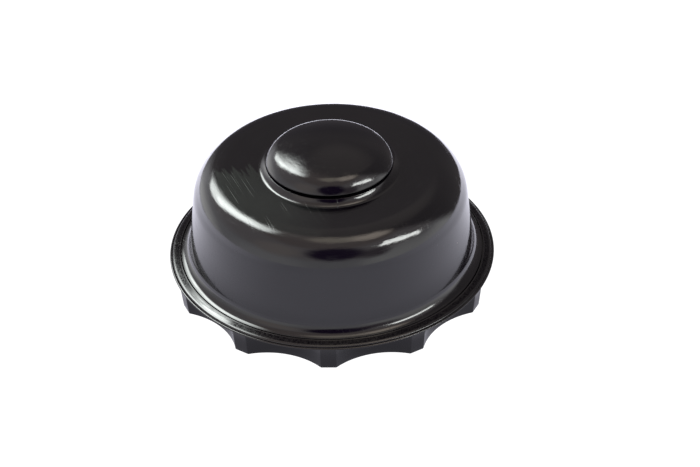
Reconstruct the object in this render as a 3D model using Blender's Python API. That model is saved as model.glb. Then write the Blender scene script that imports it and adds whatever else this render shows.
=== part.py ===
"""Cap-type oil filter wrench: a glossy black cup on a fluted socket ring, driven by a hidden steel bush.

Metres, +Z up. The origin is the centre of the bottom rim, and a flute's flat land faces -Y.
Lengths below are in millimetres and are turned into metres where a mesh is made.
"""

import math

import bmesh
import bpy

MM = 0.001
GAP = 0.3                       # play between pieces that touch

# Driving sizes
FLANGE_RADIUS = 51.5
FLANGE_TOP = 9.6
FLANGE_BOTTOM = 8.2
FLUTES = 11
TOP_HEIGHT = 40.3               # flat top of the cup
SHELL_WALL = 2.6
WALL_DRAFT = math.radians(5.7)

# Socket ring
LAND_RADIUS = 50.0              # at the bottom rim
LAND_HALF_WIDTH = 2.36
VALLEY_RADIUS = 45.34           # middle of a scallop at the bottom rim
SKIRT_DRAFT = math.radians(6.9)
SKIRT_WALL = 2.4
VALLEY_STEPS = 10               # segments along one scallop
LEDGE_BOTTOM = 4.9
LEDGE_RADIUS = 36.0
FLOOR_TOP = 8.0                 # face that the cup's wall stands on
REBATE_TOP = 8.9                # shallow step that takes the cup's foot bead
REBATE_RADIUS = 48.1
LIP_STEP = 0.6                  # the flange's lower lip stands out past the upper one
LIP_HEIGHT = 0.4
UPPER_LIP_RADIUS = 50.4         # where the flange's sloping top turns down
UPPER_LIP_HEIGHT = 8.85

# Cup shell
SHELL_SEGMENTS = 48
TRIM_SEGMENTS = 40              # boss cap, seal, plate and pad
FOOT_RADIUS = REBATE_RADIUS - GAP
FOOT_BEAD = 0.3                 # bevel round the foot's edge
FOOT_TOP = 9.7
FOOT_NORMAL = math.radians(78.7)  # elevation of the surface normal where the foot's cove ends
SPIGOT_RADIUS = 45.3
WALL_RADIUS = 45.09             # wall's outer face at the flange's height
SHOULDER_RADIUS = 11.2
NECK_TOP = 42.0
NECK_FOOT_RADIUS = 22.7         # where the hollow round the neck meets the flat top
LOW_COVE = 2.4                  # radii of that hollow's lower and upper arcs
HIGH_COVE = 5.4
COVE_TURN = math.radians(237)   # angle of the point where the two arcs meet
NECK_BORE = 16.8
NECK_FLOOR = 38.6
HUB_RADIUS = 23.5
HUB_BOTTOM = 28.3
HUB_BORE = 10.0

# Screw posts and screws
RING_SCREWS = 6
RING_SCREW_CIRCLE = 40.0
RING_SCREW_START = math.radians(30)
POST_RADIUS = 3.6
POST_TOP = 20.0
PLATE_SCREWS = 4
PLATE_SCREW_CIRCLE = 18.6
PLATE_SCREW_START = math.radians(45)
SHANK_RADIUS = 1.2
PAN_HEAD_RADIUS = 2.7
PAN_HEAD_HEIGHT = 1.7
SUNK_HEAD_RADIUS = 2.9
SUNK_HEAD_HEIGHT = 1.6
HOLE_SEGMENTS = 12

# Drive insert, retaining plate and filter pad
SQUARE_SIZE = 12.9              # takes a half-inch square drive
HEX_FLATS = 22.0
INSERT_TOP = 41.2
INSERT_FLANGE_RADIUS = 15.0
INSERT_FLANGE_HEIGHT = 2.4
PLATE_THICKNESS = 2.2
PLATE_BORE = 9.5
PAD_THICKNESS = 2.7
PAD_BORE = 10.0

# Boss cap: a sharp edge, a tight shoulder arc and a wide crown
CAP_RADIUS = 20.0
SHADOW_GAP = 1.3                # open joint between the neck's rim and the cap's edge
CAP_EDGE = NECK_TOP + SHADOW_GAP
CAP_LIP = 0.15
CAP_EDGE_NORMAL = math.radians(30)      # elevation of the surface normal just inside the edge
CAP_CROWN_NORMAL = math.radians(68.5)   # and where the shoulder arc meets the crown
CAP_SHOULDER = 8.5
CAP_DISC = 1.5                          # small flat at the very top
CAP_CEILING = 46.6
CAP_CEILING_RADIUS = 9.2
CAP_CEILING_EDGE = 44.6
CAP_SPIGOT_RADIUS = 16.2
CAP_SPIGOT_BORE = 13.1
GROOVE_RADIUS = 14.5
GROOVE_BOTTOM = 39.6
GROOVE_TOP = 41.8
SEAL_RADIUS = 15.6
SEAL_SECTION = 0.8


def clear_scene():
    for item in list(bpy.data.objects):
        bpy.data.objects.remove(item)


def make_material(name, colour, roughness, metallic=0.0):
    material = bpy.data.materials.new(name)
    material.use_nodes = True
    shader = material.node_tree.nodes["Principled BSDF"]
    shader.inputs["Base Color"].default_value = (*colour, 1.0)
    shader.inputs["Roughness"].default_value = roughness
    shader.inputs["Metallic"].default_value = metallic
    return material


def angles(count, start=0.0):
    return [start + 2 * math.pi * k / count for k in range(count)]


def around(radius, height, turns):
    """A loop of points at the given angles, counted from -Y towards +X. radius is a number or a list."""
    radii = radius if isinstance(radius, list) else [radius] * len(turns)
    return [(r * math.sin(a), -r * math.cos(a), height) for r, a in zip(radii, turns)]


def arc(centre, radius, first, last, steps):
    """Points (r, z) along an arc, with angles in radians from +r towards +z."""
    points = []
    for k in range(steps + 1):
        a = first + (last - first) * k / steps
        points.append((centre[0] + radius * math.cos(a), centre[1] + radius * math.sin(a)))
    return points


def loft(name, loops, material, closed=True):
    """One solid through loops of equal length: closed into a ring, or with its two ends filled."""
    mesh = bpy.data.meshes.new(name)
    bm = bmesh.new()
    rows = [[bm.verts.new((x * MM, y * MM, z * MM)) for x, y, z in loop] for loop in loops]
    count = len(rows[0])
    pairs = list(zip(rows, rows[1:]))
    if closed:
        pairs.append((rows[-1], rows[0]))
    else:
        bm.faces.new(rows[0])
        bm.faces.new(rows[-1])
    for lower, upper in pairs:
        for k in range(count):
            n = (k + 1) % count
            bm.faces.new((lower[k], lower[n], upper[n], upper[k]))
    bmesh.ops.recalc_face_normals(bm, faces=bm.faces)
    bm.to_mesh(mesh)
    bm.free()
    mesh.shade_smooth()
    mesh.set_sharp_from_angle(angle=math.radians(35))
    body = bpy.data.objects.new(name, mesh)
    bpy.context.scene.collection.objects.link(body)
    if material:
        body.data.materials.append(material)
    return body


def turned(name, profile, segments, material, closed=True):
    """A solid of revolution about +Z through the profile's points (r, z)."""
    turns = angles(segments)
    return loft(name, [around(r, z, turns) for r, z in profile], material, closed)


def rods(name, places, stations):
    """Hidden upright round bodies, used to cut or to add. stations are (radius, height) along each."""
    mesh = bpy.data.meshes.new(name)
    bm = bmesh.new()
    for px, py in places:
        rows = []
        for radius, height in stations:
            loop = around(radius, height, angles(HOLE_SEGMENTS))
            rows.append([bm.verts.new(((x + px) * MM, (y + py) * MM, z * MM)) for x, y, z in loop])
        bm.faces.new(rows[0])
        bm.faces.new(rows[-1])
        for lower, upper in zip(rows, rows[1:]):
            for k in range(HOLE_SEGMENTS):
                n = (k + 1) % HOLE_SEGMENTS
                bm.faces.new((lower[k], lower[n], upper[n], upper[k]))
    bmesh.ops.recalc_face_normals(bm, faces=bm.faces)
    bm.to_mesh(mesh)
    bm.free()
    return hidden(bpy.data.objects.new(name, mesh))


def hidden(body):
    if body.name not in bpy.context.scene.collection.objects:
        bpy.context.scene.collection.objects.link(body)
    body.hide_render = True
    body.display_type = "WIRE"
    return body


def combine(body, operand, operation):
    step = body.modifiers.new(operation.lower(), "BOOLEAN")
    step.operation = operation
    step.solver = "EXACT"
    step.object = operand


def circle_places(count, radius, start):
    return [(radius * math.sin(a), -radius * math.cos(a)) for a in angles(count, start)]


def flute_turns():
    """Angles of the ring's points: three on each land, then the inner points of a scallop."""
    half_land = math.asin(LAND_HALF_WIDTH / LAND_RADIUS)
    pitch = 2 * math.pi / FLUTES
    span = pitch - 2 * half_land
    turns = []
    for flute in range(FLUTES):
        start = flute * pitch
        turns += [start - half_land, start, start + half_land]
        for k in range(1, VALLEY_STEPS):
            turns.append(start + half_land + span * k / VALLEY_STEPS)
    return turns


def flute_radius(turn, inset):
    """Outline radius at an angle: a flat land, or the scallop's circle that bows towards the axis."""
    pitch = 2 * math.pi / FLUTES
    local = (turn + pitch / 2) % pitch - pitch / 2
    half_land = math.asin(LAND_HALF_WIDTH / LAND_RADIUS)
    flat = LAND_RADIUS * math.cos(half_land)
    if abs(local) <= half_land + 1e-9:
        return (flat - inset) / math.cos(local)
    corner_x = LAND_RADIUS * math.sin(pitch / 2 - half_land)
    corner_y = LAND_RADIUS * math.cos(pitch / 2 - half_land)
    sag = corner_y - VALLEY_RADIUS
    scallop = (corner_x ** 2 + sag ** 2) / (2 * sag)
    centre = VALLEY_RADIUS + scallop
    off = pitch / 2 - abs(local)
    reach = scallop + inset
    outer = centre * math.cos(off) - math.sqrt(reach ** 2 - (centre * math.sin(off)) ** 2)
    return min(outer, (flat - inset) / math.cos(local))


def skirt_outline(height, inset=0.0, draft=0.0):
    turns = flute_turns()
    radii = [flute_radius(a, inset) + draft * height for a in turns]
    return around(radii, height, turns)


def make_socket_ring(material):
    turns = flute_turns()
    draft = math.tan(SKIRT_DRAFT)
    loops = [
        skirt_outline(0.0, SKIRT_WALL),
        skirt_outline(0.0),
        skirt_outline(FLANGE_BOTTOM, draft=draft),
        around(FLANGE_RADIUS, FLANGE_BOTTOM, turns),
        around(FLANGE_RADIUS, FLANGE_BOTTOM + LIP_HEIGHT, turns),
        around(FLANGE_RADIUS - LIP_STEP, FLANGE_BOTTOM + LIP_HEIGHT, turns),
        around(UPPER_LIP_RADIUS, UPPER_LIP_HEIGHT, turns),
        around(REBATE_RADIUS, FLANGE_TOP, turns),
        around(REBATE_RADIUS, REBATE_TOP, turns),
        around(SPIGOT_RADIUS + GAP, REBATE_TOP, turns),
        around(SPIGOT_RADIUS + GAP, FLOOR_TOP, turns),
        around(LEDGE_RADIUS, FLOOR_TOP, turns),
        around(LEDGE_RADIUS, LEDGE_BOTTOM, turns),
        skirt_outline(LEDGE_BOTTOM, SKIRT_WALL),
    ]
    ring = loft("fluted_socket_ring", loops, material)
    seat = LEDGE_BOTTOM + PAN_HEAD_HEIGHT + GAP
    stations = [
        (PAN_HEAD_RADIUS + GAP, LEDGE_BOTTOM - 1.0),
        (PAN_HEAD_RADIUS + GAP, seat),
        (SHANK_RADIUS + 0.5, seat),
        (SHANK_RADIUS + 0.5, FLOOR_TOP + 1.0),
    ]
    places = circle_places(RING_SCREWS, RING_SCREW_CIRCLE, RING_SCREW_START)
    combine(ring, rods("ring_screw_holes", places, stations), "DIFFERENCE")
    return ring


def neck_cove():
    """Hollow from the neck's rim down to the flat top: a wide arc, then a tighter one."""
    low = (NECK_FOOT_RADIUS, TOP_HEIGHT + LOW_COVE)
    reach = LOW_COVE - HIGH_COVE
    high = (low[0] + reach * math.cos(COVE_TURN), low[1] + reach * math.sin(COVE_TURN))
    start = math.pi + math.asin((high[1] - NECK_TOP) / HIGH_COVE)
    upper = arc(high, HIGH_COVE, start, COVE_TURN, 3)
    return upper[:-1] + arc(low, LOW_COVE, COVE_TURN, 1.5 * math.pi, 2)


def foot_cove():
    """Hollow arc that leads the wall into the foot's edge."""
    end = (FOOT_RADIUS - FOOT_BEAD, FOOT_TOP)
    wall_reach = WALL_RADIUS * math.cos(WALL_DRAFT) + FLANGE_TOP * math.sin(WALL_DRAFT)
    end_reach = end[0] * math.cos(WALL_DRAFT) + end[1] * math.sin(WALL_DRAFT)
    radius = (end_reach - wall_reach) / (1 - math.cos(FOOT_NORMAL - WALL_DRAFT))
    centre = (end[0] + radius * math.cos(FOOT_NORMAL), end[1] + radius * math.sin(FOOT_NORMAL))
    return arc(centre, radius, math.pi + WALL_DRAFT, math.pi + FOOT_NORMAL, 4)


def shell_profile():
    corner = TOP_HEIGHT - SHOULDER_RADIUS
    reach = WALL_RADIUS * math.cos(WALL_DRAFT) + (FLANGE_TOP - corner) * math.sin(WALL_DRAFT)
    centre = ((reach - SHOULDER_RADIUS) / math.cos(WALL_DRAFT), corner)
    inner_foot = WALL_RADIUS - SHELL_WALL / math.cos(WALL_DRAFT)
    base = FLOOR_TOP + GAP
    quarter = math.pi / 2
    outside = [(NECK_BORE, NECK_TOP)] + neck_cove()
    outside += arc(centre, SHOULDER_RADIUS, quarter, WALL_DRAFT, 7)
    outside += foot_cove()
    outside += [(FOOT_RADIUS, FOOT_TOP - FOOT_BEAD), (FOOT_RADIUS, REBATE_TOP + GAP)]
    outside += [(SPIGOT_RADIUS, REBATE_TOP + GAP), (SPIGOT_RADIUS, base)]
    inside = [(inner_foot, base)]
    inside += arc(centre, SHOULDER_RADIUS - SHELL_WALL, WALL_DRAFT, quarter, 4)
    inside += [(HUB_RADIUS, TOP_HEIGHT - SHELL_WALL), (HUB_RADIUS, HUB_BOTTOM)]
    recess = HUB_BOTTOM + INSERT_FLANGE_HEIGHT + GAP
    inside += [(INSERT_FLANGE_RADIUS + GAP, HUB_BOTTOM), (INSERT_FLANGE_RADIUS + GAP, recess)]
    inside += [(HUB_BORE, recess), (HUB_BORE, NECK_FLOOR), (NECK_BORE, NECK_FLOOR)]
    return outside + inside


def hex_radius(turn, flats):
    local = turn % (math.pi / 3) - math.pi / 6
    return flats / 2 / math.cos(local)


def square_radius(turn, side):
    local = (turn + math.pi / 4) % (math.pi / 2) - math.pi / 4
    return side / 2 / math.cos(local)


def make_cup_shell(material):
    shell = turned("cup_shell", shell_profile(), SHELL_SEGMENTS, material)
    base = FLOOR_TOP + GAP
    posts = circle_places(RING_SCREWS, RING_SCREW_CIRCLE, RING_SCREW_START)
    combine(shell, rods("post_blanks", posts, [(POST_RADIUS, base), (POST_RADIUS, POST_TOP)]), "UNION")
    pilot = SHANK_RADIUS + GAP
    combine(shell, rods("post_pilots", posts, [(pilot, base - 1.0), (pilot, POST_TOP - 2.5)]), "DIFFERENCE")
    hub_screws = circle_places(PLATE_SCREWS, PLATE_SCREW_CIRCLE, PLATE_SCREW_START)
    hub_holes = rods("hub_pilots", hub_screws, [(pilot, HUB_BOTTOM - 1.0), (pilot, HUB_BOTTOM + 7.7)])
    combine(shell, hub_holes, "DIFFERENCE")
    turns = angles(6)
    flats = [hex_radius(a, HEX_FLATS + 2 * GAP) for a in turns]
    recess = HUB_BOTTOM + INSERT_FLANGE_HEIGHT + GAP
    pocket = loft(
        "hex_pocket",
        [around(flats, recess - 0.5, turns), around(flats, NECK_FLOOR + 0.5, turns)],
        None,
        closed=False,
    )
    combine(shell, hidden(pocket), "DIFFERENCE")
    return shell


def make_drive_insert(material):
    turns = angles(48)
    square = [square_radius(a, SQUARE_SIZE) for a in turns]
    flats = [hex_radius(a, HEX_FLATS) for a in turns]
    shoulder = HUB_BOTTOM + INSERT_FLANGE_HEIGHT
    loops = [
        around(square, HUB_BOTTOM, turns),
        around(INSERT_FLANGE_RADIUS, HUB_BOTTOM, turns),
        around(INSERT_FLANGE_RADIUS, shoulder, turns),
        around(flats, shoulder, turns),
        around(flats, INSERT_TOP, turns),
        around(square, INSERT_TOP, turns),
    ]
    return loft("drive_insert", loops, material)


def plate_levels():
    top = HUB_BOTTOM - GAP
    return top - PLATE_THICKNESS, top


def make_retaining_plate(material):
    bottom, top = plate_levels()
    profile = [(PLATE_BORE, bottom), (HUB_RADIUS, bottom), (HUB_RADIUS, top), (PLATE_BORE, top)]
    plate = turned("retaining_plate", profile, TRIM_SEGMENTS, material)
    places = circle_places(PLATE_SCREWS, PLATE_SCREW_CIRCLE, PLATE_SCREW_START)
    wide = SUNK_HEAD_RADIUS + 0.4
    narrow = SHANK_RADIUS + 0.4
    stations = [
        (wide, bottom - 0.5),
        (wide, bottom),
        (narrow, bottom + SUNK_HEAD_HEIGHT),
        (narrow, top + 0.5),
    ]
    combine(plate, rods("plate_screw_holes", places, stations), "DIFFERENCE")
    return plate


def make_filter_pad(material):
    top = plate_levels()[0] - GAP
    bottom = top - PAD_THICKNESS
    profile = [(PAD_BORE, bottom), (HUB_RADIUS, bottom), (HUB_RADIUS, top), (PAD_BORE, top)]
    pad = turned("filter_pad", profile, TRIM_SEGMENTS, material)
    places = circle_places(PLATE_SCREWS, PLATE_SCREW_CIRCLE, PLATE_SCREW_START)
    access = SUNK_HEAD_RADIUS + 0.2
    combine(pad, rods("pad_holes", places, [(access, bottom - 0.5), (access, top + 0.5)]), "DIFFERENCE")
    return pad


def cap_outline():
    """Points (r, z) of the cap's top, from near the axis out to its edge."""
    start = (CAP_RADIUS - CAP_LIP, CAP_EDGE + CAP_LIP)
    centre = (
        start[0] - CAP_SHOULDER * math.cos(CAP_EDGE_NORMAL),
        start[1] - CAP_SHOULDER * math.sin(CAP_EDGE_NORMAL),
    )
    shoulder = arc(centre, CAP_SHOULDER, CAP_CROWN_NORMAL, CAP_EDGE_NORMAL, 5)
    crown_radius = shoulder[0][0] / math.cos(CAP_CROWN_NORMAL)
    crown_centre = (0.0, shoulder[0][1] - crown_radius * math.sin(CAP_CROWN_NORMAL))
    crown = arc(crown_centre, crown_radius, math.radians(85), CAP_CROWN_NORMAL, 4)
    disc = [(CAP_DISC, crown_centre[1] + crown_radius)]
    return disc + crown[:-1] + shoulder + [(CAP_RADIUS, CAP_EDGE + CAP_LIP * 0.5)]


def make_boss_cap(material):
    profile = cap_outline() + [
        (CAP_RADIUS - 0.1, CAP_EDGE),
        (CAP_SPIGOT_RADIUS, CAP_EDGE),
        (CAP_SPIGOT_RADIUS, GROOVE_TOP),
        (GROOVE_RADIUS, GROOVE_TOP),
        (GROOVE_RADIUS, GROOVE_BOTTOM),
        (CAP_SPIGOT_RADIUS, GROOVE_BOTTOM),
        (CAP_SPIGOT_RADIUS, NECK_FLOOR + GAP),
        (CAP_SPIGOT_BORE, NECK_FLOOR + GAP),
        (CAP_SPIGOT_BORE, CAP_CEILING_EDGE),
        (CAP_CEILING_RADIUS, CAP_CEILING),
    ]
    return turned("boss_cap", profile, TRIM_SEGMENTS, material, closed=False)


def make_seal_ring(material):
    middle = (GROOVE_BOTTOM + GROOVE_TOP) / 2
    profile = arc((SEAL_RADIUS, middle), SEAL_SECTION, 0.0, 2 * math.pi, 6)[:-1]
    return turned("cap_seal_ring", profile, TRIM_SEGMENTS, material)


def make_screw(name, place, stations, socket_radius, socket_floor, material):
    """A screw, head downwards. stations are (radius, height) from the tip to the head's open face."""
    turns = angles(12)
    loops = [around(r, z, turns) for r, z in stations]
    socket = [hex_radius(a, 2 * socket_radius) for a in turns]
    loops.append(around(socket, stations[-1][1], turns))
    loops.append(around(socket, socket_floor, turns))
    screw = loft(name, loops, material, closed=False)
    screw.location = (place[0] * MM, place[1] * MM, 0.0)
    return screw


def make_ring_screws(material):
    head = LEDGE_BOTTOM
    seat = head + PAN_HEAD_HEIGHT
    tip = POST_TOP - 3.4
    stations = [
        (SHANK_RADIUS - 0.5, tip),
        (SHANK_RADIUS, tip - 0.8),
        (SHANK_RADIUS, seat),
        (PAN_HEAD_RADIUS, seat),
        (PAN_HEAD_RADIUS, head + 0.4),
        (PAN_HEAD_RADIUS - 0.4, head),
    ]
    places = circle_places(RING_SCREWS, RING_SCREW_CIRCLE, RING_SCREW_START)
    for number, place in enumerate(places, 1):
        make_screw(f"ring_screw_{number}", place, stations, 1.1, head + 1.1, material)


def make_plate_screws(material):
    head = plate_levels()[0]
    tip = HUB_BOTTOM + 7.2
    stations = [
        (SHANK_RADIUS - 0.5, tip),
        (SHANK_RADIUS, tip - 0.8),
        (SHANK_RADIUS, head + SUNK_HEAD_HEIGHT),
        (SUNK_HEAD_RADIUS, head + 0.2),
        (SUNK_HEAD_RADIUS, head),
    ]
    places = circle_places(PLATE_SCREWS, PLATE_SCREW_CIRCLE, PLATE_SCREW_START)
    for number, place in enumerate(places, 1):
        make_screw(f"plate_screw_{number}", place, stations, 1.0, head + 1.0, material)


def main():
    clear_scene()
    gloss_black = make_material("gloss_black_plastic", (0.012, 0.012, 0.014), 0.12)
    satin_black = make_material("satin_black_plastic", (0.016, 0.016, 0.018), 0.25)
    steel = make_material("plated_steel", (0.56, 0.57, 0.58), 0.3, 1.0)
    zinc = make_material("zinc_screw", (0.62, 0.62, 0.60), 0.35, 1.0)
    rubber = make_material("black_rubber", (0.03, 0.03, 0.03), 0.8)
    make_cup_shell(gloss_black)
    make_socket_ring(satin_black)
    make_boss_cap(gloss_black)
    make_seal_ring(rubber)
    make_drive_insert(steel)
    make_retaining_plate(steel)
    make_filter_pad(rubber)
    make_ring_screws(zinc)
    make_plate_screws(zinc)


main()
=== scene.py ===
import math

import bmesh
import bpy
from mathutils import Matrix, Vector


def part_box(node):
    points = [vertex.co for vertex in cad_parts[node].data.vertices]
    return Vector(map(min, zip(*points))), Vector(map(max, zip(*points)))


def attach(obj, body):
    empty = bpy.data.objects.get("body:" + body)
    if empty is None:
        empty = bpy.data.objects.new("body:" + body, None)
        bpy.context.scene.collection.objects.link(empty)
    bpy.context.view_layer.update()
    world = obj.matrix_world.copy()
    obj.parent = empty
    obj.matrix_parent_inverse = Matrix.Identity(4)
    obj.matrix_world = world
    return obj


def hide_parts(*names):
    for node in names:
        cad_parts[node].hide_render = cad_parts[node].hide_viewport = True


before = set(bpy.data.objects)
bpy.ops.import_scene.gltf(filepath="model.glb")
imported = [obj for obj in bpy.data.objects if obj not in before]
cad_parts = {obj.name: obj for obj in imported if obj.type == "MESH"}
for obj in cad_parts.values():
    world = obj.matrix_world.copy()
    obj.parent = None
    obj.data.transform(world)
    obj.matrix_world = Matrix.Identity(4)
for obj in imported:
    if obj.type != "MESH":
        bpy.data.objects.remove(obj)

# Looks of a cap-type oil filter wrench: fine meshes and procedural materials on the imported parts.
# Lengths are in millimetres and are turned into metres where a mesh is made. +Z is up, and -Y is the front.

MM = 0.001
QUARTER = math.pi / 2
BODY = "wrench"
CAP_BODY = "cap"
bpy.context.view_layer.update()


def node_size(name):
    """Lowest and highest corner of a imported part, in millimetres."""
    low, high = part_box(name)
    return low / MM, high / MM


_, ring_high = node_size("fluted_socket_ring")
shell_low, shell_high = node_size("cup_shell")
cap_low, cap_high = node_size("boss_cap")
seal_low, seal_high = node_size("cap_seal_ring")
insert_low, insert_high = node_size("drive_insert")
plate_low, plate_high = node_size("retaining_plate")
pad_low, pad_high = node_size("filter_pad")

# Segments round the axis, and the angle in degrees above which an edge is sharp
TURNED_SEGMENTS = 320
SMALL_SEGMENTS = 192
ROD_SEGMENTS = 36
SHARP_ANGLE = 32

# Clearance between parts, and the small easing of their plain edges
GAP = 0.3
EASE = 0.3

# Socket ring
FLANGE_RADIUS = ring_high.y
FLANGE_TOP = ring_high.z
FLANGE_BOTTOM = FLANGE_TOP - 1.4
FLUTES = 11
LAND_RADIUS = FLANGE_RADIUS - 1.5
LAND_HALF_WIDTH = 2.36
VALLEY_RADIUS = 45.34
SKIRT_DRAFT = math.tan(math.radians(6.9))
SKIRT_WALL = 2.4
CORNER_FILLET = 0.45
LEDGE_BOTTOM = 4.9
LEDGE_RADIUS = 36.0
FLOOR_TOP = shell_low.z - GAP
FOOT_RADIUS = shell_high.x
REBATE_RADIUS = FOOT_RADIUS + GAP
REBATE_TOP = 8.9
LOWER_LIP_TOP = FLANGE_BOTTOM + 0.4
LOWER_LIP_WIDTH = 0.5
LOWER_LIP_END = 0.39
LOWER_LIP_NORMAL = math.radians(78)
LOWER_LIP_BOW = 0.7
LOWER_LIP_FOLD = math.radians(48)
LOWER_LIP_CORNER = 0.2
UPPER_LIP_BOW = 1.1
UPPER_LIP_FOLD = math.radians(50)
UPPER_LIP_CORNER = 0.35
UPPER_LIP_START = math.radians(5)
LIP_GROOVE_DEPTH = 0.2
LIP_GROOVE_END = 0.78
FLANGE_BOW = 44.0
FLANGE_INNER_NORMAL = math.radians(73)
FLANGE_OUTER_NORMAL = math.radians(70.17)

# Cup shell
TOP_HEIGHT = 40.3
TOP_FALL = math.radians(0.8)
SHELL_WALL = 2.6
WALL_DRAFT = math.radians(5.7)
WALL_RADIUS = 45.09
SHOULDER_RADIUS = 11.2
FOOT_BEAD = 0.3
FOOT_TOP = 9.7
FOOT_NORMAL = math.radians(72)
SPIGOT_RADIUS = 45.3
CAP_RADIUS = cap_high.x
NECK_TOP = shell_high.z
NECK_FOOT_RADIUS = 22.7
LOW_COVE = 2.4
HIGH_COVE = 5.4
COVE_TURN = math.radians(237)
SHADOW_GAP = 1.3
NECK_RIM = 0.18
NECK_BORE = 16.8
NECK_FLOOR = 38.6
HUB_RADIUS = plate_high.x
HUB_BOTTOM = insert_low.z
HUB_BORE = 10.0
HUB_FILLET = 1.5
INSERT_FLANGE_RADIUS = insert_high.x
INSERT_FLANGE_HEIGHT = 2.4
RING_SCREWS = 6
PLATE_SCREWS = 4
POST_RADIUS = 3.6
POST_TOP = 20.0
MOULD_LINE_AZIMUTH = math.radians(8.0)

# The points of the neck's two coves in the list that neck_and_top gives
NECK_COVES = slice(4, 26)

# Screws and their holes
HEAD_HOLE_RADIUS = 3.0
HEAD_HOLE_DEPTH = 2.0
SHANK_HOLE_RADIUS = 1.7
PILOT_RADIUS = 1.5
SINK_RADIUS = 3.3
SINK_BOTTOM_RADIUS = 1.6
ACCESS_RADIUS = 3.1
CORE_RADIUS = 1.1
THREAD_RADIUS = 1.42
THREAD_PITCH = 1.1

# Drive insert
SQUARE_SIZE = 12.9
SQUARE_FILLET = 0.6
HEX_FLATS = 22.0

# Boss cap's plug
PLUG_RADIUS = 16.2
PLUG_BORE = 13.1
SEAL_GROOVE_RADIUS = 14.5
SEAL_GROOVE = (39.6, 41.8)


# ---------------------------------------------------------------- mesh helpers

def angles(count):
    return [2 * math.pi * k / count for k in range(count)]


def around(radius, height, turns):
    """A loop of points at the given angles, counted from -Y towards +X. radius is a number or a list."""
    radii = radius if isinstance(radius, list) else [radius] * len(turns)
    return [(r * math.sin(a), -r * math.cos(a), height) for r, a in zip(radii, turns)]


def arc(centre, radius, first, last, steps):
    """Points (r, z) along an arc, with angles in radians from +r towards +z."""
    points = []
    for k in range(steps + 1):
        a = first + (last - first) * k / steps
        points.append((centre[0] + radius * math.cos(a), centre[1] + radius * math.sin(a)))
    return points


def straight(first, last, steps):
    """Points between two ends, both left out."""
    points = []
    for k in range(1, steps):
        t = k / steps
        points.append((first[0] + (last[0] - first[0]) * t, first[1] + (last[1] - first[1]) * t))
    return points


def finish_mesh(bm, name, sharp=SHARP_ANGLE):
    """Turns a bmesh into an object, shaded smooth but for edges sharper than an angle in degrees."""
    mesh = bpy.data.meshes.new(name)
    bmesh.ops.recalc_face_normals(bm, faces=bm.faces)
    bm.to_mesh(mesh)
    bm.free()
    mesh.shade_smooth()
    mesh.set_sharp_from_angle(angle=math.radians(sharp))
    body = bpy.data.objects.new(name, mesh)
    bpy.context.scene.collection.objects.link(body)
    return body


def add_loft(bm, loops, closed=True):
    rows = [[bm.verts.new((x * MM, y * MM, z * MM)) for x, y, z in loop] for loop in loops]
    count = len(rows[0])
    pairs = list(zip(rows, rows[1:]))
    if closed:
        pairs.append((rows[-1], rows[0]))
    else:
        bm.faces.new(rows[0])
        bm.faces.new(rows[-1])
    for lower, upper in pairs:
        for k in range(count):
            n = (k + 1) % count
            bm.faces.new((lower[k], lower[n], upper[n], upper[k]))


def loft(name, loops, closed=True, sharp=SHARP_ANGLE):
    """A skin over loops of points. Closed, the last loop joins the first; open, both ends are capped."""
    bm = bmesh.new()
    add_loft(bm, loops, closed)
    return finish_mesh(bm, name, sharp)


def turned(name, profile, segments=TURNED_SEGMENTS, closed=True, sharp=SHARP_ANGLE):
    """A profile of points (r, z) turned round the axis."""
    turns = angles(segments)
    return loft(name, [around(r, z, turns) for r, z in profile], closed, sharp)


def rods(name, places, stations):
    """Upright round bodies used to cut or to add. stations are (radius, height) along each."""
    turns = angles(ROD_SEGMENTS)
    bm = bmesh.new()
    for px, py in places:
        loops = []
        for radius, height in stations:
            loops.append([(x + px, y + py, z) for x, y, z in around(radius, height, turns)])
        add_loft(bm, loops, closed=False)
    return finish_mesh(bm, name)


def carve(body, steps):
    """Applies (operand, operation) Booleans in order, then removes the operands."""
    for operand, operation in steps:
        step = body.modifiers.new(operation.lower(), "BOOLEAN")
        step.operation = operation
        step.solver = "EXACT"
        step.object = operand
    graph = bpy.context.evaluated_depsgraph_get()
    mesh = bpy.data.meshes.new_from_object(body.evaluated_get(graph))
    body.modifiers.clear()
    body.data = mesh
    mesh.shade_smooth()
    mesh.set_sharp_from_angle(angle=math.radians(SHARP_ANGLE))
    for operand, _ in steps:
        bpy.data.objects.remove(operand)
    return body


def dress(body, material, rides, slot, *nodes):
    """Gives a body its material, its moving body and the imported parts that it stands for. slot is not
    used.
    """
    body.data.materials.clear()
    body.data.materials.append(material)
    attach(body, rides)
    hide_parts(*nodes)
    return body


def screw_places(prefix, count):
    """Screw centres (x, y) in millimetres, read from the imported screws."""
    places = []
    for number in range(1, count + 1):
        low, high = node_size(f"{prefix}_{number}")
        places.append(((low.x + high.x) / 2, (low.y + high.y) / 2))
    return places


def polygon_radius(turn, sides, flats, fillet):
    """Radius of a regular polygon with rounded corners, a flat facing turn 0."""
    half = math.pi / sides
    local = abs((turn + half) % (2 * half) - half)
    reach = flats / 2
    if math.tan(local) * reach <= (reach - fillet) * math.tan(half):
        return reach / math.cos(local)
    centre = (reach - fillet) / math.cos(half)
    off = half - local
    return centre * math.cos(off) + math.sqrt(fillet ** 2 - (centre * math.sin(off)) ** 2)


# ---------------------------------------------------------------- socket ring

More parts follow.
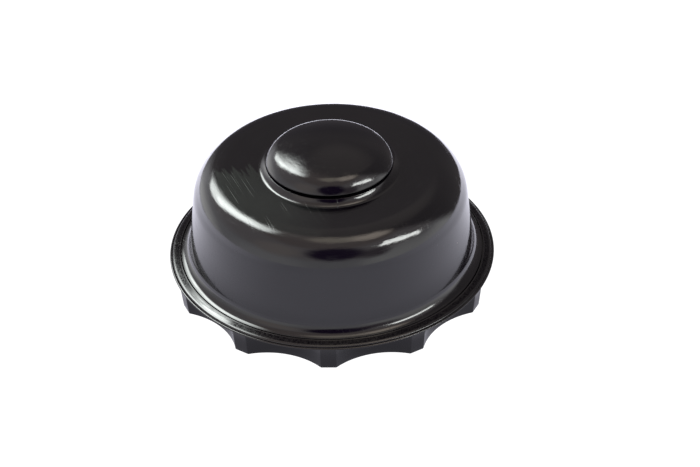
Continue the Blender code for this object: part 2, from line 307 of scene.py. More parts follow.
def flute_outline(inset):
    """One flute's points (x, y), the land facing +y: a flat, a corner fillet, a hollow arc, a fillet."""
    half_pitch = math.pi / FLUTES
    half_land = math.asin(LAND_HALF_WIDTH / LAND_RADIUS)
    flat = LAND_RADIUS * math.cos(half_land)
    corner_x = LAND_RADIUS * math.sin(half_pitch - half_land)
    corner_y = LAND_RADIUS * math.cos(half_pitch - half_land)
    sag = corner_y - VALLEY_RADIUS
    hollow = (corner_x ** 2 + sag ** 2) / (2 * sag)
    centre = Vector((math.sin(half_pitch), math.cos(half_pitch))) * (VALLEY_RADIUS + hollow)
    reach = hollow + inset
    fillet_y = flat - inset - CORNER_FILLET
    fillet_x = centre.x - math.sqrt((reach + CORNER_FILLET) ** 2 - (fillet_y - centre.y) ** 2)
    fillet = Vector((fillet_x, fillet_y))
    towards = (centre - fillet).normalized()
    last = math.atan2(towards.y, towards.x)
    points = [(0.0, flat - inset)] + straight((0.0, flat - inset), (fillet_x, flat - inset), 2)
    points += arc(fillet, CORNER_FILLET, QUARTER, last, 5)
    start = math.atan2(-towards.y, -towards.x) % (2 * math.pi)
    middle = math.atan2(-centre.y, -centre.x) % (2 * math.pi)
    points += arc(centre, reach, start, middle, 14)[1:]
    return points


def ring_outline(inset=0.0):
    """Angles and radii of the whole fluted outline."""
    half = [(math.atan2(x, y), math.hypot(x, y)) for x, y in flute_outline(inset)]
    pitch = 2 * math.pi / FLUTES
    turns, radii = [], []
    for flute in range(FLUTES):
        start = flute * pitch
        for a, r in half:
            turns.append(start + a)
            radii.append(r)
        for a, r in reversed(half[1:-1]):
            turns.append(start + pitch - a)
            radii.append(r)
    return turns, radii


def fluted_loop(height, inset=0.0, draft=0.0, ease=0.0):
    """The fluted outline at a height: inset follows its shape inwards, ease only shrinks it."""
    turns, radii = ring_outline(inset)
    return around([r + draft * height - ease for r in radii], height, turns)


def rolled_edge(face_end, face_normal, bow, fold, corner, last=0.0):
    """An edge that rolls off a face, listed from the side up: a small corner arc, then a wide one.

    bow and corner are the radii of the wide and the small arc, fold is the angle where they meet.
    """
    centre = (face_end[0] - bow * math.cos(face_normal), face_end[1] - bow * math.sin(face_normal))
    turn = (centre[0] + (bow - corner) * math.cos(fold), centre[1] + (bow - corner) * math.sin(fold))
    return arc(turn, corner, last, fold, 6)[:-1] + arc(centre, bow, fold, face_normal, 6)


def flange_face():
    """The flange's bowed top face, from its upper lip in to the rebate, as points (r, z)."""
    centre = (
        REBATE_RADIUS + 0.05 - FLANGE_BOW * math.cos(FLANGE_INNER_NORMAL),
        FLANGE_TOP - FLANGE_BOW * math.sin(FLANGE_INNER_NORMAL),
    )
    face = arc(centre, FLANGE_BOW, FLANGE_OUTER_NORMAL, FLANGE_INNER_NORMAL, 8)
    lip = (UPPER_LIP_BOW, UPPER_LIP_FOLD, UPPER_LIP_CORNER, UPPER_LIP_START)
    return rolled_edge(face[0], FLANGE_OUTER_NORMAL, *lip) + face[1:]


def flange_edge():
    """The ring from the flange's underside round lips, face and rebate to the ledge, as points (r, z)."""
    groove = LOWER_LIP_TOP - LIP_GROOVE_DEPTH
    lip_end = (FLANGE_RADIUS - LOWER_LIP_END, LOWER_LIP_TOP)
    lip_inside = FLANGE_RADIUS - LOWER_LIP_WIDTH
    points = [(FLANGE_RADIUS - 0.05, FLANGE_BOTTOM), (FLANGE_RADIUS, FLANGE_BOTTOM + 0.05)]
    points += rolled_edge(lip_end, LOWER_LIP_NORMAL, LOWER_LIP_BOW, LOWER_LIP_FOLD, LOWER_LIP_CORNER)
    points += [(lip_inside, LOWER_LIP_TOP), (lip_inside - 0.03, groove)]
    points += [(FLANGE_RADIUS - LIP_GROOVE_END, groove)]
    points += flange_face()
    points += [(REBATE_RADIUS, FLANGE_TOP - 0.12)]
    points += [(REBATE_RADIUS, REBATE_TOP), (SPIGOT_RADIUS + GAP, REBATE_TOP)]
    points += [(SPIGOT_RADIUS + GAP, FLOOR_TOP), (LEDGE_RADIUS + EASE, FLOOR_TOP)]
    points += [(LEDGE_RADIUS, FLOOR_TOP - EASE), (LEDGE_RADIUS, LEDGE_BOTTOM + EASE)]
    return points + [(LEDGE_RADIUS + EASE, LEDGE_BOTTOM)]


def make_socket_ring(material):
    """Up the fluted skirt from its rim, round the flange and ledge, and down inside the flutes."""
    turns, _ = ring_outline()
    rim = 0.35
    loops = [fluted_loop(0.0, SKIRT_WALL, ease=-0.2), fluted_loop(0.0, SKIRT_WALL - 0.2)]
    for k in range(5):
        a = QUARTER * k / 4
        loops.append(fluted_loop(rim * (1 - math.cos(a)), ease=rim * (1 - math.sin(a)), draft=SKIRT_DRAFT))
    loops += [fluted_loop(h, draft=SKIRT_DRAFT) for h in (2.5, 5.0, FLANGE_BOTTOM - 0.35)]
    loops.append(fluted_loop(FLANGE_BOTTOM - 0.1, draft=SKIRT_DRAFT, ease=-0.1))
    loops += [around(r, z, turns) for r, z in flange_edge()]
    loops.append(fluted_loop(LEDGE_BOTTOM, SKIRT_WALL, ease=EASE))
    loops.append(fluted_loop(LEDGE_BOTTOM - EASE, SKIRT_WALL))
    ring = loft("socket_ring_body", loops)
    seat = LEDGE_BOTTOM + HEAD_HOLE_DEPTH
    stations = [(HEAD_HOLE_RADIUS, LEDGE_BOTTOM - 1.0), (HEAD_HOLE_RADIUS, seat)]
    stations += [(SHANK_HOLE_RADIUS, seat), (SHANK_HOLE_RADIUS, FLOOR_TOP + 1.0)]
    carve(ring, [(rods("holes", screw_places("ring_screw", RING_SCREWS), stations), "DIFFERENCE")])
    return dress(ring, material, BODY, "satin_black_plastic", "fluted_socket_ring")


# ---------------------------------------------------------------- cup shell

def neck_and_top():
    """Outside of the shell from the neck's rim to the wall, as points (r, z), and the shoulder's centre."""
    low = (NECK_FOOT_RADIUS, TOP_HEIGHT + LOW_COVE)
    reach = LOW_COVE - HIGH_COVE
    high = (low[0] + reach * math.cos(COVE_TURN), low[1] + reach * math.sin(COVE_TURN))
    rim_height = NECK_TOP - NECK_RIM
    rim_reach = HIGH_COVE + NECK_RIM
    rim_angle = math.asin((high[1] - rim_height) / rim_reach)
    rim = arc((high[0] - rim_reach * math.cos(rim_angle), rim_height), NECK_RIM, QUARTER, rim_angle, 4)
    fillet = arc(high, HIGH_COVE, 2 * QUARTER + rim_angle, COVE_TURN, 12)[:-1]
    fillet += arc(low, LOW_COVE, COVE_TURN, 3 * QUARTER - TOP_FALL, 10)
    top_normal = (math.sin(TOP_FALL), math.cos(TOP_FALL))
    wall_normal = (math.cos(WALL_DRAFT), math.sin(WALL_DRAFT))
    top_reach = fillet[-1][0] * top_normal[0] + fillet[-1][1] * top_normal[1] - SHOULDER_RADIUS
    wall_reach = WALL_RADIUS * wall_normal[0] + FLANGE_TOP * wall_normal[1] - SHOULDER_RADIUS
    cross = top_normal[0] * wall_normal[1] - top_normal[1] * wall_normal[0]
    centre = (
        (top_reach * wall_normal[1] - wall_reach * top_normal[1]) / cross,
        (wall_reach * top_normal[0] - top_reach * wall_normal[0]) / cross,
    )
    shoulder = arc(centre, SHOULDER_RADIUS, QUARTER - TOP_FALL, WALL_DRAFT, 44)
    points = rim[:-1] + fillet + straight(fillet[-1], shoulder[0], 8) + shoulder
    return points, centre


def foot_cove():
    """Hollow arc that leads the wall into the foot's edge."""
    end = (FOOT_RADIUS - FOOT_BEAD, FOOT_TOP)
    wall_reach = WALL_RADIUS * math.cos(WALL_DRAFT) + FLANGE_TOP * math.sin(WALL_DRAFT)
    end_reach = end[0] * math.cos(WALL_DRAFT) + end[1] * math.sin(WALL_DRAFT)
    radius = (end_reach - wall_reach) / (1 - math.cos(FOOT_NORMAL - WALL_DRAFT))
    centre = (end[0] + radius * math.cos(FOOT_NORMAL), end[1] + radius * math.sin(FOOT_NORMAL))
    return arc(centre, radius, math.pi + WALL_DRAFT, math.pi + FOOT_NORMAL, 16)


def shell_profile():
    """The shell's whole outline as points (r, z): down the outside, and back up the inside to the neck."""
    outside, centre = neck_and_top()
    foot = foot_cove()
    outside += straight(outside[-1], foot[0], 10) + foot
    outside += [(FOOT_RADIUS - 0.1, FOOT_TOP - 0.07), (FOOT_RADIUS, FOOT_TOP - FOOT_BEAD)]
    outside += [(FOOT_RADIUS, REBATE_TOP + GAP), (SPIGOT_RADIUS, REBATE_TOP + GAP)]
    base = FLOOR_TOP + GAP
    inner_foot = WALL_RADIUS - SHELL_WALL / math.cos(WALL_DRAFT)
    outside += [(SPIGOT_RADIUS, base), (inner_foot + EASE, base), (inner_foot, base + EASE)]
    inner_shoulder = arc(centre, SHOULDER_RADIUS - SHELL_WALL, WALL_DRAFT, QUARTER, 20)
    inside = straight((inner_foot, base + EASE), inner_shoulder[0], 8) + inner_shoulder
    ceiling = inner_shoulder[-1][1]
    fillet_end = HUB_RADIUS + HUB_FILLET
    inside += straight(inner_shoulder[-1], (fillet_end, ceiling), 4)
    inside += arc((fillet_end, ceiling - HUB_FILLET), HUB_FILLET, QUARTER, 2 * QUARTER, 6)
    inside += [(HUB_RADIUS, HUB_BOTTOM + EASE), (HUB_RADIUS - EASE, HUB_BOTTOM)]
    recess = HUB_BOTTOM + INSERT_FLANGE_HEIGHT + GAP
    inside += [(INSERT_FLANGE_RADIUS + GAP, HUB_BOTTOM), (INSERT_FLANGE_RADIUS + GAP, recess)]
    inside += [(HUB_BORE, recess), (HUB_BORE, NECK_FLOOR), (NECK_BORE, NECK_FLOOR)]
    inside += [(NECK_BORE, NECK_TOP - 0.4), (NECK_BORE + 0.4, NECK_TOP)]
    return outside + inside


def make_cup_shell(material):
    shell = turned("cup_shell_body", shell_profile())
    base = FLOOR_TOP + GAP
    posts = screw_places("ring_screw", RING_SCREWS)
    hub = screw_places("plate_screw", PLATE_SCREWS)
    post = [(POST_RADIUS, base), (POST_RADIUS, POST_TOP - EASE), (POST_RADIUS - EASE, POST_TOP)]
    blanks = rods("blanks", posts, post)
    pilots = rods("pilots", posts, [(PILOT_RADIUS, base - 1.0), (PILOT_RADIUS, POST_TOP - 2.5)])
    hub_pilot = [(PILOT_RADIUS, HUB_BOTTOM - 1.0), (PILOT_RADIUS, HUB_BOTTOM + 7.7)]
    hub_pilots = rods("hub_pilots", hub, hub_pilot)
    turns = angles(96)
    flats = [polygon_radius(a + math.pi / 6, 6, HEX_FLATS + 2 * GAP, 0.3) for a in turns]
    recess = HUB_BOTTOM + INSERT_FLANGE_HEIGHT + GAP
    pocket = loft(
        "pocket",
        [around(flats, recess - 0.5, turns), around(flats, NECK_FLOOR + 0.5, turns)],
        closed=False,
    )
    cuts = [(blanks, "UNION"), (pilots, "DIFFERENCE"), (hub_pilots, "DIFFERENCE"), (pocket, "DIFFERENCE")]
    carve(shell, cuts)
    return dress(shell, material, BODY, "gloss_black_plastic", "cup_shell")


def make_mould_line(material):
    """The mould's parting witness: a hair-fine raised line down the front of the neck."""
    points = neck_and_top()[0][NECK_COVES]
    width = 0.09
    raise_by = 0.045
    bm = bmesh.new()
    rows = []
    for k, (r, z) in enumerate(points):
        before = points[max(k - 1, 0)]
        after = points[min(k + 1, len(points) - 1)]
        along = Vector((after[0] - before[0], after[1] - before[1])).normalized()
        normal = (-along.y, along.x)
        section = []
        for side, lift in ((-1, -0.1), (-1, 0.2), (0, 1.0), (1, 0.2), (1, -0.1)):
            radius = r + normal[0] * raise_by * lift
            height = z + normal[1] * raise_by * lift
            turn = MOULD_LINE_AZIMUTH + side * width / r
            section.append((radius * math.sin(turn), -radius * math.cos(turn), height))
        rows.append(section)
    add_loft(bm, rows, closed=False)
    line = finish_mesh(bm, "neck_mould_line", sharp=180)
    line.data.materials.append(material)
    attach(line, BODY)
    return line


# ---------------------------------------------------------------- boss cap and seal

def cap_profile():
    """The cap from its crown down over the edge, in to the plug, round the seal's groove and up inside."""
    edge = NECK_TOP + SHADOW_GAP
    start = (CAP_RADIUS - 0.15, edge + 0.15)
    shoulder_radius = 8.5
    edge_normal = math.radians(30)
    crown_normal = math.radians(68.5)
    centre = (
        start[0] - shoulder_radius * math.cos(edge_normal),
        start[1] - shoulder_radius * math.sin(edge_normal),
    )
    shoulder = arc(centre, shoulder_radius, crown_normal, edge_normal, 24)
    crown_radius = shoulder[0][0] / math.cos(crown_normal)
    crown_centre = (0.0, shoulder[0][1] - crown_radius * math.sin(crown_normal))
    crown = arc(crown_centre, crown_radius, math.radians(89.9), crown_normal, 26)
    points = crown[:-1] + shoulder
    points += [(CAP_RADIUS - 0.03, edge + 0.12), (CAP_RADIUS, edge + 0.06), (CAP_RADIUS - 0.05, edge)]
    low, high = SEAL_GROOVE
    bottom = cap_low.z
    points += [(PLUG_RADIUS, edge), (PLUG_RADIUS, high), (SEAL_GROOVE_RADIUS, high)]
    points += [(SEAL_GROOVE_RADIUS, low), (PLUG_RADIUS, low)]
    points += [(PLUG_RADIUS, bottom + 0.4), (PLUG_RADIUS - 0.4, bottom)]
    points += [(PLUG_BORE + EASE, bottom), (PLUG_BORE, bottom + EASE)]
    hollow_round = 3.5
    points += arc((PLUG_BORE - hollow_round, edge), hollow_round, 0.0, QUARTER * 0.8, 8)
    return points + [(0.05, edge + 3.6)]


def make_boss_cap(material):
    cap = turned("boss_cap_body", cap_profile(), TURNED_SEGMENTS, closed=False)
    return dress(cap, material, CAP_BODY, "gloss_black_plastic", "boss_cap")


def make_seal(material):
    section = (seal_high.z - seal_low.z) / 2
    middle = (seal_high.z + seal_low.z) / 2
    profile = arc((seal_high.x - section, middle), section, 0.0, 2 * math.pi, 24)[:-1]
    seal = turned("seal_ring_body", profile, SMALL_SEGMENTS, sharp=180)
    return dress(seal, material, CAP_BODY, "black_rubber", "cap_seal_ring")


# ---------------------------------------------------------------- drive insert, plate and pad

def make_insert(material):
    """The drive's metal bush: a flange, a hexagon above it and a square hole right through."""
    turns = angles(SMALL_SEGMENTS)
    low, high = insert_low.z, insert_high.z
    shoulder = low + INSERT_FLANGE_HEIGHT

    def square(grow):
        return [polygon_radius(a, 4, SQUARE_SIZE + 2 * grow, SQUARE_FILLET) for a in turns]

    def hexagon(limit=math.inf):
        return [min(polygon_radius(a + math.pi / 6, 6, HEX_FLATS, 0.4), limit) for a in turns]

    edge, ease = INSERT_FLANGE_RADIUS, 0.35
    loops = [
        around(square(0.0), low + 0.7, turns),
        around(square(0.7), low, turns),
        around(edge - ease, low, turns),
        around(edge, low + ease, turns),
        around(edge, shoulder - ease, turns),
        around(edge - ease, shoulder, turns),
        around(hexagon(), shoulder, turns),
        around(hexagon(), high - 0.9, turns),
        around(hexagon(12.2), high - 0.7, turns),
        around(hexagon(11.2), high - 0.1, turns),
        around(hexagon(11.0), high, turns),
        around(square(0.5), high, turns),
        around(square(0.0), high - 0.5, turns),
    ]
    insert = loft("drive_insert_body", loops, sharp=25)
    return dress(insert, material, BODY, "plated_steel", "drive_insert")


def make_plate(material):
    """The washer that closes the hub, with a countersunk hole for each of its screws."""
    bottom, top = plate_low.z, plate_high.z
    bore, edge = 9.5, HUB_RADIUS
    profile = [
        (bore + EASE, bottom), (edge - EASE, bottom), (edge, bottom + EASE), (edge, top - EASE),
        (edge - EASE, top), (bore + EASE, top), (bore, top - EASE), (bore, bottom + EASE),
    ]
    plate = turned("retaining_plate_body", profile, SMALL_SEGMENTS)
    stations = [(SINK_RADIUS, bottom - 0.5), (SINK_RADIUS, bottom)]
    stations += [(SINK_BOTTOM_RADIUS, bottom + 1.6), (SINK_BOTTOM_RADIUS, top + 0.5)]
    carve(plate, [(rods("sinks", screw_places("plate_screw", PLATE_SCREWS), stations), "DIFFERENCE")])
    return dress(plate, material, BODY, "plated_steel", "retaining_plate")


def make_pad(material):
    """The rubber seat: a ring with rounded edges and two shallow grooves in its working face."""
    bottom, top = pad_low.z, pad_high.z
    bore, edge, ease = 10.0, HUB_RADIUS, 0.5
    profile = arc((bore + ease, bottom + ease), ease, 2 * QUARTER, 3 * QUARTER, 4)
    for groove in (12.0, 22.2):
        profile += [(groove - 0.45, bottom), (groove - 0.25, bottom + 0.35)]
        profile += [(groove + 0.25, bottom + 0.35), (groove + 0.45, bottom)]
    profile += arc((edge - ease, bottom + ease), ease, 3 * QUARTER, 4 * QUARTER, 4)
    profile += [(edge, top - 0.2), (edge - 0.2, top), (bore + 0.2, top), (bore, top - 0.2)]
    pad = turned("filter_pad_body", profile, SMALL_SEGMENTS)
    access = [(ACCESS_RADIUS, bottom - 0.5), (ACCESS_RADIUS, top + 0.5)]
    carve(pad, [(rods("access", screw_places("plate_screw", PLATE_SCREWS), access), "DIFFERENCE")])
    return dress(pad, material, BODY, "black_rubber", "filter_pad")


# ---------------------------------------------------------------- screws

def threaded_shank(start, end, turns):
    """Loops of a coarse thread between two heights, tapering into the tip at end."""
    rows = []
    steps = int(abs(end - start) / THREAD_PITCH * 8)
    for k in range(steps + 1):
        z = start + (end - start) * k / steps
        fade = min(1.0, (steps - k) / 10)
        radii = []
        for a in turns:
            phase = (z / THREAD_PITCH - a / (2 * math.pi)) % 1.0
            ridge = max(0.0, 1 - abs(phase - 0.5) * 3.2)
            core = CORE_RADIUS * (0.45 + 0.55 * fade)
            radii.append(core + (THREAD_RADIUS - CORE_RADIUS) * ridge * fade)
        rows.append(around(radii, z, turns))
    return rows


def make_screw(name, head, socket_size, socket_depth, node, material):
    """A screw hung head down at its packed place. head holds (radius, height), from seat to open face."""
    low, high = node_size(node)
    turns = angles(36)
    loops = list(reversed(threaded_shank(head[0][1], high.z, turns)))
    loops += [around(r, z, turns) for r, z in head]
    face = head[-1][1]
    socket = [polygon_radius(a, 6, socket_size, 0.12) for a in turns]
    wide = [r + 0.15 for r in socket]
    loops += [around(wide, face, turns), around(socket, face + 0.12, turns)]
    loops += [around(socket, face + socket_depth, turns)]
    screw = loft(name, loops, closed=False, sharp=40)
    screw.location = ((low.x + high.x) / 2 * MM, (low.y + high.y) / 2 * MM, 0.0)
    return dress(screw, material, BODY, "zinc_screw", node)


def make_ring_screws(material):
    face = node_size("ring_screw_1")[0].z
    seat = face + 1.7
    head = [(CORE_RADIUS, seat), (2.6, seat), (2.7, seat - 0.1)]
    head += arc((1.9, face + 0.8), 0.8, 0.0, -QUARTER, 6)
    for number in range(1, RING_SCREWS + 1):
        make_screw(f"ring_screw_body_{number}", head, 2.1, 1.1, f"ring_screw_{number}", material)


def make_plate_screws(material):
    face = node_size("plate_screw_1")[0].z
    head = [(CORE_RADIUS, face + 1.6), (2.8, face + 0.2), (2.9, face + 0.1), (2.8, face)]
    for number in range(1, PLATE_SCREWS + 1):
        make_screw(f"plate_screw_body_{number}", head, 2.0, 1.0, f"plate_screw_{number}", material)


# ---------------------------------------------------------------- material helpers

class Graph:
    """Small wrapper that adds nodes and links to one node tree."""

    def __init__(self, tree):
        self.tree = tree

    def link(self, source, target):
        self.tree.links.new(source, target)

    def feed(self, socket, value):
        """Links another node's output to a socket, or sets the socket's own value."""
        if isinstance(value, bpy.types.NodeSocket):
            self.link(value, socket)
        else:
            socket.default_value = value

    def add(self, kind, settings=None, **inputs):
        """A new node. An input's name has _ for each space."""
        node = self.tree.nodes.new(kind)
        for key, value in (settings or {}).items():
            setattr(node, key, value)
        for key, value in inputs.items():
            self.feed(node.inputs[key.replace("_", " ")], value)
        return node

    def math(self, operation, first, second=0.0, clamp=False):
        node = self.add("ShaderNodeMath", {"operation": operation, "use_clamp": clamp})
        self.feed(node.inputs[0], first)
        self.feed(node.inputs[1], second)
        return node.outputs[0]

    def spread(self, value, low, high, to_low, to_high, smooth=False):
        """Maps a value's range to another, clamped."""
        kind = "SMOOTHSTEP" if smooth else "LINEAR"
        settings = {"interpolation_type": kind, "clamp": True}
        inputs = {"Value": value, "From_Min": low, "From_Max": high, "To_Min": to_low, "To_Max": to_high}
        return self.add("ShaderNodeMapRange", settings, **inputs).outputs["Result"]

    def place(self, rotation=(0, 0, 0), scale=(1, 1, 1)):
        """Object coordinates, turned first and then stretched."""
        coordinates = self.add("ShaderNodeTexCoord").outputs["Object"]
        turned_to = self.add("ShaderNodeMapping", None, Vector=coordinates, Rotation=rotation).outputs[0]
        return self.add("ShaderNodeMapping", None, Vector=turned_to, Scale=scale).outputs[0]

    def axes(self):
        """Object coordinates as separate x, y and z, and the distance from the axis."""
        coordinates = self.add("ShaderNodeTexCoord").outputs["Object"]
        parts = self.add("ShaderNodeSeparateXYZ", None, Vector=coordinates).outputs
        square = self.math("ADD", self.math("POWER", parts["X"], 2.0), self.math("POWER", parts["Y"], 2.0))
        return parts["X"], parts["Y"], parts["Z"], self.math("SQRT", square)

    def noise(self, vector, scale, detail=3.0, roughness=0.5):
        inputs = {"Vector": vector, "Scale": scale, "Detail": detail, "Roughness": roughness}
        return self.add("ShaderNodeTexNoise", None, **inputs).outputs["Fac"]

    def total(self, first, *others):
        """Sum of outputs or numbers, kept between 0 and 1."""
        for value in others:
            first = self.math("ADD", first, value, clamp=True)
        return first

    def product(self, first, *others):
        for value in others:
            first = self.math("MULTIPLY", first, value)
        return first

    def mix(self, factor, first, second):
        """Blend of two colours, each an output or (r, g, b)."""
        node = self.add("ShaderNodeMix", {"data_type": "RGBA"})
        self.feed(node.inputs[0], factor)
        for socket, colour in ((node.inputs[6], first), (node.inputs[7], second)):
            self.feed(socket, (*colour, 1) if isinstance(colour, tuple) else colour)
        return node.outputs[2]

    def drift(self, noise, low, high, first, second):
        """Colour that drifts between two tones as a noise goes from low to high."""
        return self.mix(self.spread(noise, low, high, 0.0, 1.0), first, second)


def new_material(name, metallic=0.0, specular=0.5):
    """A material, the graph of its nodes and its shader."""
    material = bpy.data.materials.new(name)
    material.use_nodes = True
    shader = material.node_tree.nodes["Principled BSDF"]
    shader.inputs["Metallic"].default_value = metallic
    shader.inputs["Specular IOR Level"].default_value = specular
    return material, Graph(material.node_tree), shader


def scratches(graph, turn, tilt, density, length_scale=18.0):
    """Mask of fine straight scratches along one direction, broken up by a slow noise."""
    width_scale = 2600.0
    lines = graph.place((tilt, 0.0, turn), (width_scale, length_scale, length_scale * 3))
    fine = graph.noise(lines, 1.0, 2.0, 0.6)
    hair = graph.spread(fine, 1 - density, 1 - density + 0.06, 0.0, 1.0)
    patches = graph.noise(graph.place(), 55.0, 2.0)
    return graph.product(hair, graph.spread(patches, 0.42, 0.62, 0.0, 1.0, smooth=True))


def specks(graph, scale, radius, share):
    """Mask of small round dust specks: a share of the cells of a Voronoi pattern holds one."""
    inputs = {"Vector": graph.place(), "Scale": scale, "Randomness": 1.0}
    cells = graph.add("ShaderNodeTexVoronoi", {"feature": "F1"}, **inputs)
    dot = graph.spread(cells.outputs["Distance"], radius * 0.5, radius, 1.0, 0.0)
    chosen = graph.add("ShaderNodeSeparateColor", None, Color=cells.outputs["Color"]).outputs[0]
    return graph.product(dot, graph.math("LESS_THAN", chosen, share))


def turned_marks(graph, fineness, along):
    """Noise drawn out round the axis: fineness per metre across the marks, along per radian."""
    x, y, z, radius = graph.axes()
    turn = graph.product(graph.math("ARCTAN2", x, y), along)
    across = graph.product(radius, fineness)
    upward = graph.product(z, fineness)
    rings = graph.add("ShaderNodeCombineXYZ", None, X=across, Y=upward, Z=turn)
    return graph.noise(rings.outputs[0], 1.0, 3.0, 0.65)


def add_bump(graph, shader, heights):
    """Chains bumps. heights holds, for each, its height output, distance in millimetres and strength."""
    normal = None
    for height, distance, strength in heights:
        bump = graph.add("ShaderNodeBump", None, Height=height, Strength=strength, Distance=distance * MM)
        if normal:
            graph.link(normal, bump.inputs["Normal"])
        normal = bump.outputs["Normal"]
    graph.link(normal, shader.inputs["Normal"])


def painted_window_haze(graph):
    """Mask of the flat top's painted reflection: left of the boss, ragged at its back edge, where a haze of
    the left window's light is painted on over a rubbed patch.
    """
    x, y, z, _ = graph.axes()
    ragged = graph.noise(graph.place((0.0, 0.0, 1.16), (60.0, 650.0, 100.0)), 1.0, 3.0, 0.65)
    back_edge = graph.math("ADD", y, graph.spread(ragged, 0.3, 0.7, -0.004, 0.004))
    front_part = graph.spread(back_edge, -0.0035, -0.001, 1.0, 0.0, smooth=True)
    left_part = graph.spread(x, -0.031, 0.002, 1.0, 0.0)
    low, high = (TOP_HEIGHT - 1.8) * MM, (TOP_HEIGHT - 0.5) * MM
    on_top = graph.spread(z, low, high, 0.0, 1.0, smooth=True)
    low, high = (TOP_HEIGHT + 0.1) * MM, (TOP_HEIGHT + 0.7) * MM
    below_neck = graph.spread(z, low, high, 1.0, 0.0, smooth=True)
    return graph.product(front_part, left_part, on_top, below_neck)


def flange_gloss(graph):
    """Strength of the ring's reflections: low and mottled on its scuffed flange, but for a clean stretch."""
    x, y, z, radius = graph.axes()
    inner = graph.spread(radius, (REBATE_RADIUS + 0.30) * MM, (REBATE_RADIUS + 0.45) * MM, 0.0, 1.0)
    outer = graph.spread(radius, (FLANGE_RADIUS - 1.65) * MM, (FLANGE_RADIUS - 1.50) * MM, 1.0, 0.0)
    above = graph.spread(z, (FLANGE_TOP - 1.3) * MM, (FLANGE_TOP - 1.2) * MM, 0.0, 1.0)
    scuffed = graph.product(inner, outer, above)
    mottle = graph.spread(graph.noise(graph.place(), 1400.0, 4.0, 0.65), 0.40, 0.64, 0.02, 0.26)
    turn = graph.math("ARCTAN2", x, graph.product(y, -1.0))
    start = graph.spread(turn, math.radians(-70), math.radians(-52), 0.0, 1.0, smooth=True)
    end = graph.spread(turn, math.radians(-41), math.radians(-35), 1.0, 0.0, smooth=True)
    streaks = graph.spread(turned_marks(graph, 1800.0, 8.0), 0.35, 0.65, 0.35, 1.0)
    level = graph.math("MAXIMUM", mottle, graph.product(start, end, streaks))
    elsewhere = graph.product(graph.math("SUBTRACT", 1.0, scuffed), 0.5)
    return graph.math("ADD", elsewhere, graph.product(scuffed, level))


def gloss_black():
    """Polished black mouldings: slow gloss changes, hair scratches, a slight ripple, a little dust and a
    painted haze of window light on the top.
    """
    material, graph, shader = new_material("gloss_black_plastic")
    slow = graph.noise(graph.place(), 45.0, 3.0)
    fine = graph.noise(graph.place(), 900.0, 2.0)
    top_hair = scratches(graph, 2.73, 0.0, 0.39)
    hair = graph.math("MAXIMUM", top_hair, scratches(graph, -0.35, 0.2, 0.31, 30.0))
    rubs = turned_marks(graph, 1000.0, 6.0)
    dust = specks(graph, 330.0, 0.10, 0.022)
    gloss = graph.total(
        graph.spread(slow, 0.35, 0.65, 0.05, 0.11),
        graph.spread(rubs, 0.52, 0.75, 0.0, 0.14),
        graph.product(hair, 0.10),
        graph.product(fine, 0.03),
        graph.product(dust, 0.5),
    )
    graph.link(gloss, shader.inputs["Roughness"])
    # Painted reflection: left of the boss the base colour becomes a lighter, greenish grey that stands in
    # for the left window's light hazed by the rubbed top. It is lighter still along the real scratches
    # there.
    painted_haze = painted_window_haze(graph)
    rubbed_and_painted_glint = graph.product(painted_haze, graph.math("MAXIMUM", top_hair, graph.spread(slow, 0.3, 0.7, 0.0, 0.12)))
    black = graph.drift(slow, 0.3, 0.7, (0.0014, 0.0010, 0.0019), (0.0026, 0.0021, 0.0032))
    black = graph.mix(painted_haze, black, (0.010, 0.012, 0.011))
    black = graph.mix(rubbed_and_painted_glint, black, (0.075, 0.083, 0.078))
    graph.link(graph.mix(dust, black, (0.22, 0.21, 0.19)), shader.inputs["Base Color"])
    ripple = graph.noise(graph.place(), 120.0, 1.0)
    height = graph.axes()[2]
    low, high = (TOP_HEIGHT - 8.3) * MM, (TOP_HEIGHT - 4.3) * MM
    strands = graph.product(rubs, graph.spread(height, low, high, 0.25, 1.0, smooth=True))
    bumps = [(ripple, 0.012, 0.35), (strands, 0.034, 0.65), (hair, 0.008, 0.6), (dust, 0.03, 0.6)]
    add_bump(graph, shader, bumps)
    return material


def satin_black():
    """The ring's moulding: a little duller, with a fine grain, handling marks and a scuffed flange."""
    material, graph, shader = new_material("satin_black_plastic")
    slow = graph.noise(graph.place(), 70.0, 4.0)
    grain = graph.noise(graph.place(), 2600.0, 3.0, 0.6)
    hair = graph.math("MAXIMUM", scratches(graph, 1.2, 0.3, 0.37), scratches(graph, -0.9, -0.2, 0.36, 40.0))
    dust = specks(graph, 420.0, 0.10, 0.03)
    gloss = graph.total(
        graph.spread(slow, 0.35, 0.65, 0.08, 0.15),
        graph.product(hair, 0.15),
        graph.product(grain, 0.06),
    )
    graph.link(gloss, shader.inputs["Roughness"])
    graph.link(flange_gloss(graph), shader.inputs["Specular IOR Level"])
    black = graph.drift(slow, 0.3, 0.7, (0.0022, 0.0017, 0.0026), (0.0042, 0.0035, 0.0046))
    graph.link(graph.mix(dust, black, (0.2, 0.19, 0.17)), shader.inputs["Base Color"])
    add_bump(graph, shader, [(grain, 0.003, 0.4), (hair, 0.004, 0.5), (dust, 0.03, 0.5)])
    return material


def plated_steel():
    """Turned and plated steel: faint rings about the axis, cloudy plating and a few dark spots."""
    material, graph, shader = new_material("plated_steel", metallic=1.0)
    _, _, height, radius = graph.axes()
    rings = graph.add("ShaderNodeCombineXYZ", None, X=radius, Y=height)
    marks = graph.noise(rings.outputs[0], 5200.0, 2.0, 0.7)
    cloud = graph.noise(graph.place(), 160.0, 4.0)
    graph.link(graph.spread(cloud, 0.3, 0.7, 0.24, 0.42), shader.inputs["Roughness"])
    tint = graph.drift(cloud, 0.35, 0.7, (0.60, 0.61, 0.62), (0.46, 0.47, 0.49))
    tint = graph.mix(specks(graph, 600.0, 0.14, 0.04), tint, (0.12, 0.10, 0.08))
    graph.link(tint, shader.inputs["Base Color"])
    add_bump(graph, shader, [(marks, 0.01, 0.5), (cloud, 0.01, 0.2)])
    return material


